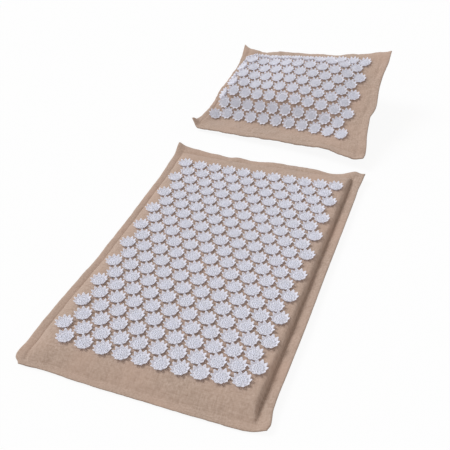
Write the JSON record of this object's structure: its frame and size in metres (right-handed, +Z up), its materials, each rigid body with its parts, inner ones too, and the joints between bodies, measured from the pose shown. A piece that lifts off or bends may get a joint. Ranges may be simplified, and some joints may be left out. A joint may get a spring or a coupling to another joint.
{
  "type": "acupressure mat with pillow",
  "caption": "Flat foam acupressure mat and a plump matching pillow in beige linen covers, each covered with rows of white star-shaped spike disks and closed by a zip underneath.",
  "frame": {"origin": "middle of the mat's underside, on the surface that mat and pillow lie on", "axes": "+Y along the mat's length towards the pillow, +X across the mat to the right, +Z up"},
  "size_m": [0.4482, 1.1117, 0.1315],
  "materials": {
    "linen": "plain-woven linen and cotton, matt",
    "disk_plastic": "moulded white plastic with a soft sheen",
    "foam": "open-cell foam",
    "filling": "loose filling in a plain inner bag",
    "zip_tape": "narrow woven tape with a nylon coil",
    "zip_metal": "cast metal, satin"
  },
  "bodies": {
    "mat": {"mat_top_cover": "linen", "mat_back_panel_foot": "linen", "mat_back_panel_head": "linen", "mat_foam_slab": "foam", "mat_zip_tape_foot": "zip_tape", "mat_zip_tape_head": "zip_tape", "mat_zip_stop_closed": "zip_metal", "mat_zip_stop_open": "zip_metal"},
    "mat_slider": {"mat_zip_slider": "zip_metal"},
    "mat_pull": {"mat_zip_pull": "zip_metal"},
    "pillow": {"pillow_top_cover": "linen", "pillow_back_panel_foot": "linen", "pillow_back_panel_head": "linen", "pillow_filling": "filling", "pillow_zip_tape_foot": "zip_tape", "pillow_zip_tape_head": "zip_tape", "pillow_zip_stop_closed": "zip_metal", "pillow_zip_stop_open": "zip_metal"},
    "pillow_slider": {"pillow_zip_slider": "zip_metal"},
    "pillow_pull": {"pillow_zip_pull": "zip_metal"}
  },
  "joints": [
    {"name": "pillow_lift", "type": "slide", "parent": "mat", "child": "pillow", "axis": [0, 0, 1], "range_m": [0, 0.15]},
    {"name": "mat_zip_run", "type": "slide", "parent": "mat", "child": "mat_slider", "axis": [-1, 0, 0], "range_m": [0, 0.315]},
    {"name": "mat_pull_swing", "type": "hinge", "parent": "mat_slider", "child": "mat_pull", "pos_m": [0.1575, 0.22, 0.00285], "axis": [0, -1, 0], "range_deg": [0, 180]},
    {"name": "pillow_zip_run", "type": "slide", "parent": "pillow", "child": "pillow_slider", "axis": [-0.9866, 0.1633, 0], "range_m": [0, 0.243]},
    {"name": "pillow_pull_swing", "type": "hinge", "parent": "pillow_slider", "child": "pillow_pull", "pos_m": [0.1096, 0.53943, 0.00285], "axis": [-0.1633, -0.9866, 0], "range_deg": [0, 180]}
  ]
}
